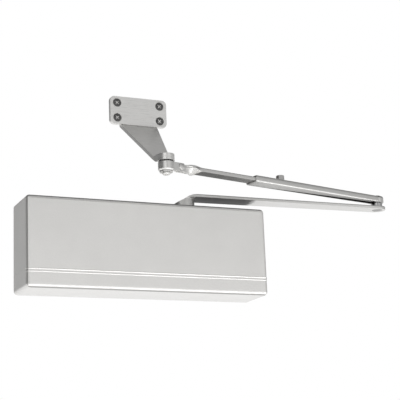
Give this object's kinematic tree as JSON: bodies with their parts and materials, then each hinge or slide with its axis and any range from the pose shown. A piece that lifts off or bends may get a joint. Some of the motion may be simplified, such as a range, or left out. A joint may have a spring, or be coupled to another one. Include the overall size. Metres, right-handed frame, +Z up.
{
  "type": "door closer",
  "caption": "Surface-mounted overhead door closer with a full cover, a rack-and-pinion spring mechanism and a regular two-piece arm that folds out to a frame shoe.",
  "frame": {"origin": "middle of the closer's mounting face, on the door", "axes": "+X along the closer towards the arm's elbow, +Y into the door, +Z up"},
  "size_m": [0.5026, 0.1303, 0.2615],
  "materials": {
    "silver_paint": "satin silver paint",
    "arm_steel": "satin silver metallic",
    "cast_iron": "dark sprayed casting",
    "machined_steel": "turned and ground",
    "screw_steel": "dark plated",
    "spring_steel": "oiled, dark",
    "bronze": "plain bearing bronze",
    "black_rubber": "moulded",
    "brass": "turned"
  },
  "bodies": {
    "closer": {"cover": "silver_paint", "cover_screw_left": "screw_steel", "cover_screw_right": "screw_steel", "body": "cast_iron", "mounting_screw_upper_left": "screw_steel", "mounting_screw_lower_left": "screw_steel", "mounting_screw_upper_right": "screw_steel", "mounting_screw_lower_right": "screw_steel", "left_end_cap": "machined_steel", "right_end_cap": "machined_steel", "left_cap_seal": "black_rubber", "right_cap_seal": "black_rubber", "upper_bearing": "bronze", "lower_bearing": "bronze", "upper_seal": "black_rubber", "lower_seal": "black_rubber", "upper_gland": "machined_steel", "lower_gland": "machined_steel", "power_spring": "spring_steel"},
    "arm": {"main_arm": "arm_steel", "pinion_shaft": "machined_steel", "arm_washer": "screw_steel", "arm_screw": "screw_steel", "elbow_stud": "screw_steel", "elbow_spacer": "machined_steel"},
    "piston": {"piston": "machined_steel", "piston_seal": "black_rubber", "check_ball": "machined_steel", "check_retainer": "brass"},
    "spring_screw": {"spring_adjust_screw": "screw_steel"},
    "spring_seat": {"spring_seat": "machined_steel"},
    "closing_valve": {"closing_valve": "brass"},
    "latching_valve": {"latching_valve": "brass"},
    "backcheck_valve": {"backcheck_valve": "brass"},
    "forearm": {"forearm_sleeve": "arm_steel"},
    "clamp_screw": {"clamp_screw": "screw_steel"},
    "rod": {"forearm_rod": "arm_steel", "knuckle_pin": "arm_steel"},
    "knuckle": {"swivel_barrel": "arm_steel", "swivel_rivet": "arm_steel", "swivel_washer": "machined_steel", "rivet_washer": "arm_steel"},
    "shoe": {"shoe_bracket": "arm_steel", "shoe_screw_upper_left": "screw_steel", "shoe_screw_lower_left": "screw_steel", "shoe_screw_upper_right": "screw_steel", "shoe_screw_lower_right": "screw_steel"}
  },
  "joints": [
    {"name": "arm_swing", "type": "hinge", "parent": "closer", "child": "arm", "pos_m": [0.056, -0.028, 0], "axis": [0, 0, 1], "range_deg": [0, 165]},
    {"name": "piston_slide", "type": "slide", "parent": "closer", "child": "piston", "axis": [1, 0, 0], "range_m": [-0.029, 0], "deforming": ["power_spring"]},
    {"name": "spring_screw_turn", "type": "hinge", "parent": "closer", "child": "spring_screw", "pos_m": [0, -0.028, 0], "axis": [1, 0, 0], "range_deg": [0, 2520]},
    {"name": "spring_seat_slide", "type": "slide", "parent": "closer", "child": "spring_seat", "axis": [1, 0, 0], "range_m": [0, 0.0106], "deforming": ["power_spring"]},
    {"name": "closing_valve_turn", "type": "hinge", "parent": "closer", "child": "closing_valve", "pos_m": [0.084, -0.048, -0.03], "axis": [0, 1, 0], "range_deg": [-270, 270]},
    {"name": "latching_valve_turn", "type": "hinge", "parent": "closer", "child": "latching_valve", "pos_m": [0.1, -0.048, -0.03], "axis": [0, 1, 0], "range_deg": [-270, 270]},
    {"name": "backcheck_valve_turn", "type": "hinge", "parent": "closer", "child": "backcheck_valve", "pos_m": [0.116, -0.048, -0.03], "axis": [0, 1, 0], "range_deg": [-270, 270]},
    {"name": "elbow_turn", "type": "hinge", "parent": "arm", "child": "forearm", "pos_m": [0.33585, -0.03704, 0.083], "axis": [0, 0, 1], "range_deg": [-6, 160]},
    {"name": "clamp_screw_turn", "type": "hinge", "parent": "forearm", "child": "clamp_screw", "pos_m": [0.16975, -0.07765, 0.087], "axis": [0, 0, 1], "range_deg": [-360, 360]},
    {"name": "rod_extend", "type": "slide", "parent": "forearm", "child": "rod", "axis": [-0.9714, -0.2375, 0], "range_m": [-0.04, 0.04]},
    {"name": "knuckle_tilt", "type": "hinge", "parent": "rod", "child": "knuckle", "pos_m": [0.01301, -0.11596, 0.083], "axis": [0.2375, -0.9714, 0], "range_deg": [-8, 8]},
    {"name": "shoe_swivel", "type": "hinge", "parent": "knuckle", "child": "shoe", "pos_m": [-0.0035, -0.12, 0.0885], "axis": [0, 0, 1], "range_deg": [-45, 100]}
  ],
  "couplings": [
    {"joint": "piston_slide", "follows": "arm_swing", "m_per_rad": -0.01},
    {"joint": "spring_seat_slide", "follows": "spring_screw_turn", "m_per_rad": 0.00023873}
  ]
}
